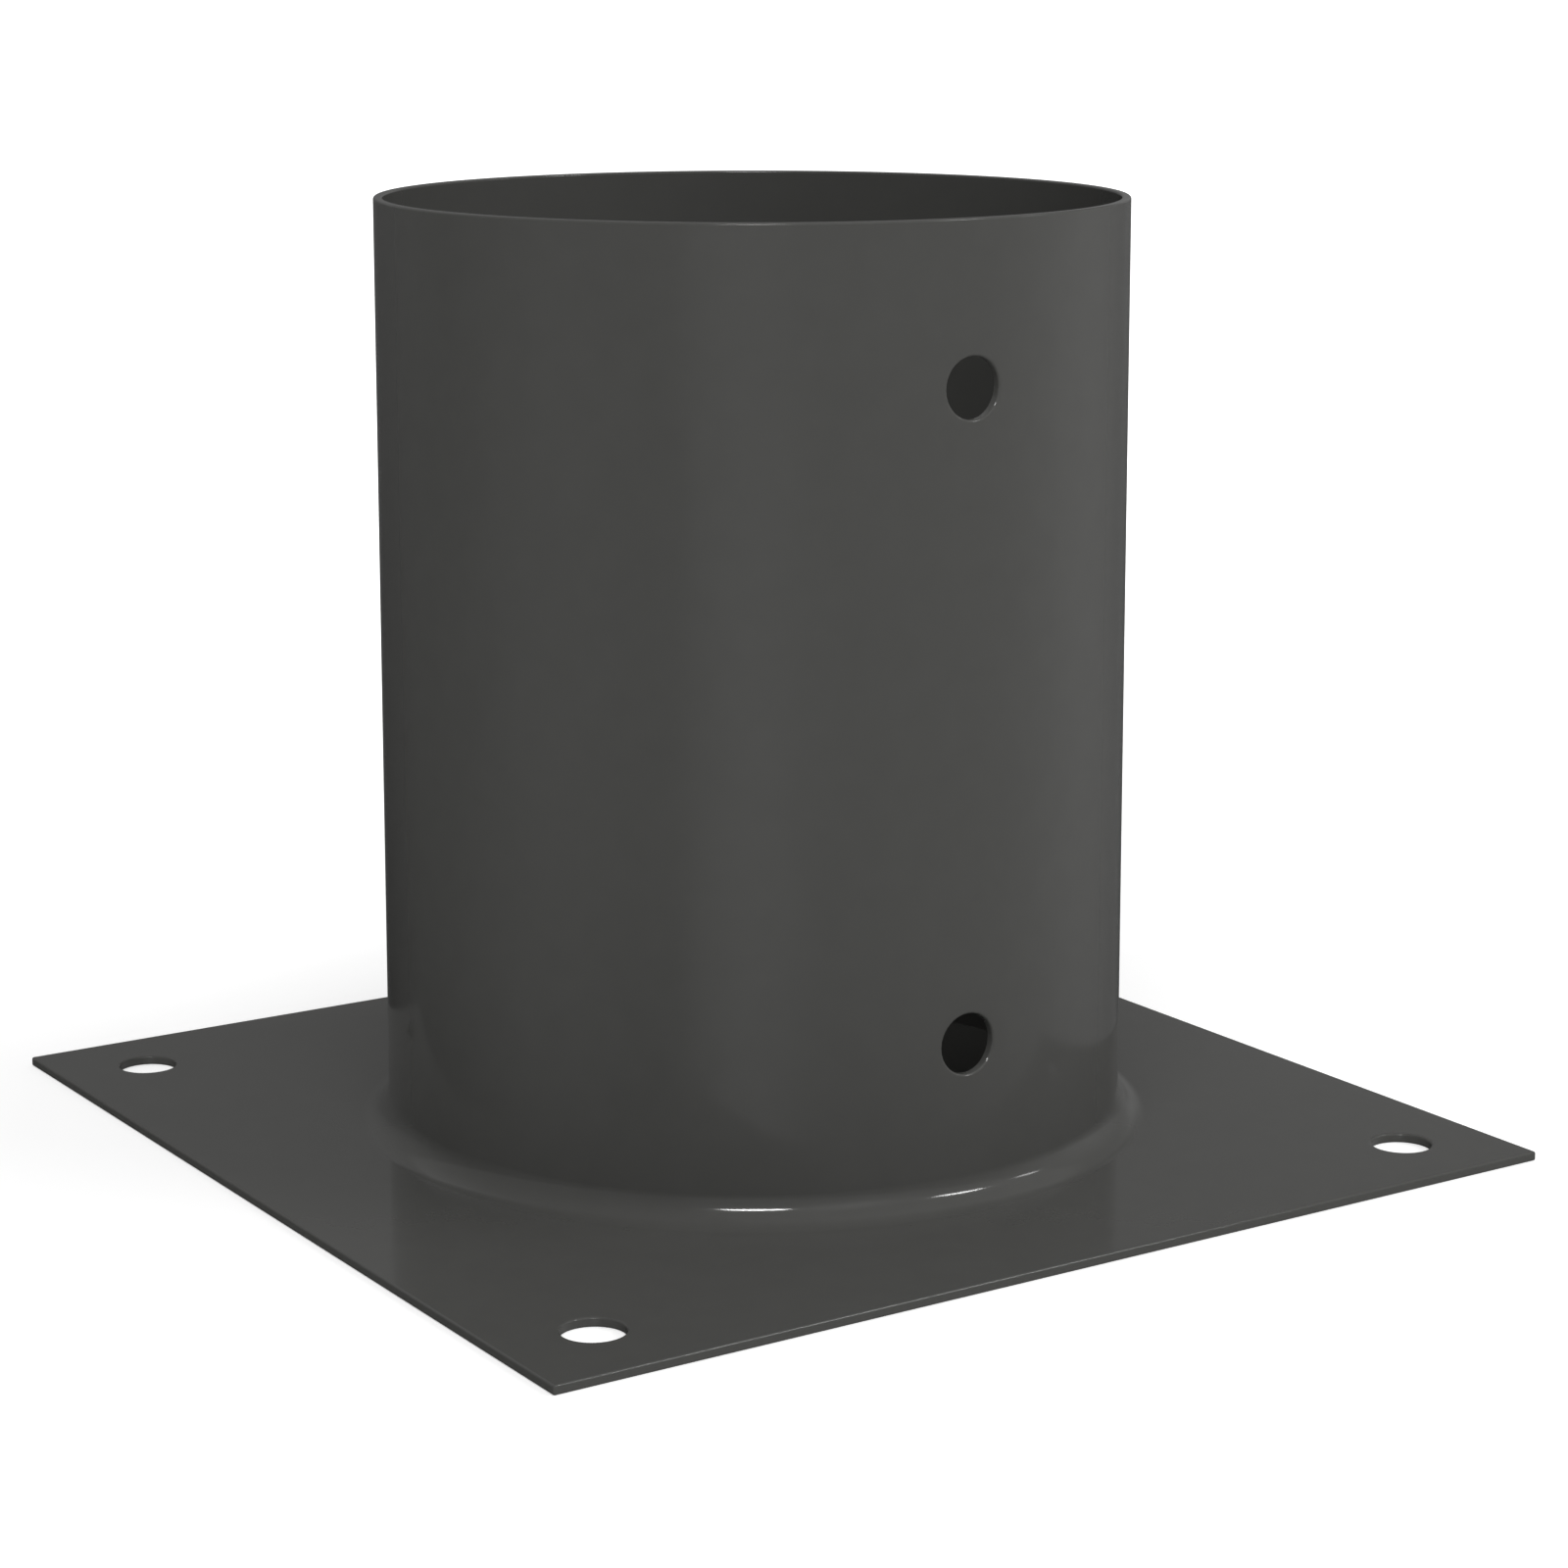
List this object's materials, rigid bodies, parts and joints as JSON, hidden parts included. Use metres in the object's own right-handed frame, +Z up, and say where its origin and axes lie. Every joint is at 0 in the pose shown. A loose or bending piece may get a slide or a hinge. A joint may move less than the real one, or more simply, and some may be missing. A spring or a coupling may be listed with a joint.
{
  "type": "ground anchor",
  "caption": "Surface-mounted ground anchor for a round post: a thin-walled steel sleeve welded upright on a square base plate, with bolt holes near the corners and screw holes in the sleeve.",
  "frame": {"origin": "centre of the base plate's underside, on the sleeve's axis", "axes": "+Z up along the sleeve, out of its mouth; X and Y along the plate's sides, with the screw holes on the -Y and +Y sides of the sleeve"},
  "size_m": [0.18, 0.18, 0.1515],
  "materials": {
    "anthracite_coat": "semi-gloss anthracite powder coat on steel"
  },
  "bodies": {
    "root": {"base_plate": "anthracite_coat", "post_sleeve": "anthracite_coat", "weld_bead": "anthracite_coat"}
  },
  "joints": []
}
